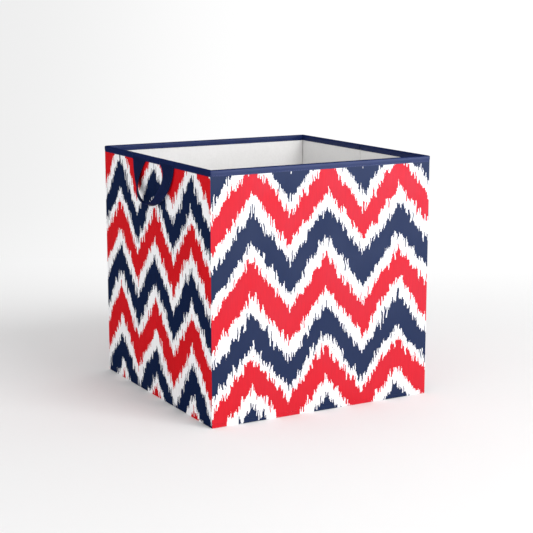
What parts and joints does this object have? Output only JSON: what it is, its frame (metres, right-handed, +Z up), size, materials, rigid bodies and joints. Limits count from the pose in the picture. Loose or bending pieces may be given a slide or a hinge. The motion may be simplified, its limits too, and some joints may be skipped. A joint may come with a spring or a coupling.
{
  "type": "folding fabric storage bin",
  "caption": "Square fabric cube with board-stiffened walls, a chevron print, a navy bound rim, strap handles on both sides, a loose base board and side walls that fold flat.",
  "frame": {"origin": "middle of the footprint, on the surface the bin stands on", "axes": "+Z up; -Y is the front wall's outward direction; the side walls with the handles face -X and +X"},
  "size_m": [0.306, 0.2806, 0.2794],
  "materials": {
    "printed_cloth": "red, navy and white ikat chevron print on canvas-weight cloth",
    "white_lining": "plain white non-woven lining, matt",
    "navy_binding": "navy woven binding tape, edge-stitched",
    "navy_webbing": "navy folded strap, edge-stitched",
    "chipboard": "grey-brown paper board, uncoated",
    "black_bottom_cloth": "plain black non-woven cloth"
  },
  "bodies": {
    "front_wall": {"front_outer_panel": "printed_cloth", "front_board": "chipboard", "front_lining": "white_lining", "front_binding": "navy_binding", "bottom_panel": "black_bottom_cloth"},
    "left_front_half": {"left_front_outer_panel": "printed_cloth", "left_front_board": "chipboard", "left_front_lining": "white_lining", "left_front_binding": "navy_binding", "left_handle_front_half": "navy_webbing"},
    "left_back_half": {"left_back_outer_panel": "printed_cloth", "left_back_board": "chipboard", "left_back_lining": "white_lining", "left_back_binding": "navy_binding", "left_handle_back_half": "navy_webbing"},
    "back_wall": {"back_outer_panel": "printed_cloth", "back_board": "chipboard", "back_lining": "white_lining", "back_binding": "navy_binding"},
    "right_front_half": {"right_front_outer_panel": "printed_cloth", "right_front_board": "chipboard", "right_front_lining": "white_lining", "right_front_binding": "navy_binding", "right_handle_front_half": "navy_webbing"},
    "right_back_half": {"right_back_outer_panel": "printed_cloth", "right_back_board": "chipboard", "right_back_lining": "white_lining", "right_back_binding": "navy_binding", "right_handle_back_half": "navy_webbing"},
    "base_insert": {"base_board": "chipboard", "base_cover": "white_lining"}
  },
  "joints": [
    {"name": "left_front_fold", "type": "hinge", "parent": "front_wall", "child": "left_front_half", "pos_m": [-0.13645, -0.13615, 0.1397], "axis": [0, 0, -1], "range_deg": [0, 82]},
    {"name": "left_centre_fold", "type": "hinge", "parent": "left_front_half", "child": "left_back_half", "pos_m": [-0.14065, 0, 0.1397], "axis": [0, 0, 1], "range_deg": [0, 164], "deforming": ["left_handle_front_half", "left_handle_back_half"]},
    {"name": "left_back_fold", "type": "hinge", "parent": "left_back_half", "child": "back_wall", "pos_m": [-0.13645, 0.13615, 0.1397], "axis": [0, 0, -1], "range_deg": [0, 82]},
    {"name": "right_front_fold", "type": "hinge", "parent": "front_wall", "child": "right_front_half", "pos_m": [0.13645, -0.13615, 0.1397], "axis": [0, 0, 1], "range_deg": [0, 82]},
    {"name": "right_centre_fold", "type": "hinge", "parent": "right_front_half", "child": "right_back_half", "pos_m": [0.14065, 0, 0.1397], "axis": [0, 0, -1], "range_deg": [0, 164], "deforming": ["right_handle_front_half", "right_handle_back_half"]},
    {"name": "base_lift", "type": "slide", "parent": "front_wall", "child": "base_insert", "axis": [0, 0, 1], "range_m": [0, 0.285]}
  ],
  "couplings": [
    {"joint": "left_centre_fold", "follows": "left_front_fold", "ratio": 2},
    {"joint": "left_back_fold", "follows": "left_front_fold", "ratio": 1},
    {"joint": "right_front_fold", "follows": "left_front_fold", "ratio": 1},
    {"joint": "right_centre_fold", "follows": "left_front_fold", "ratio": 2}
  ]
}
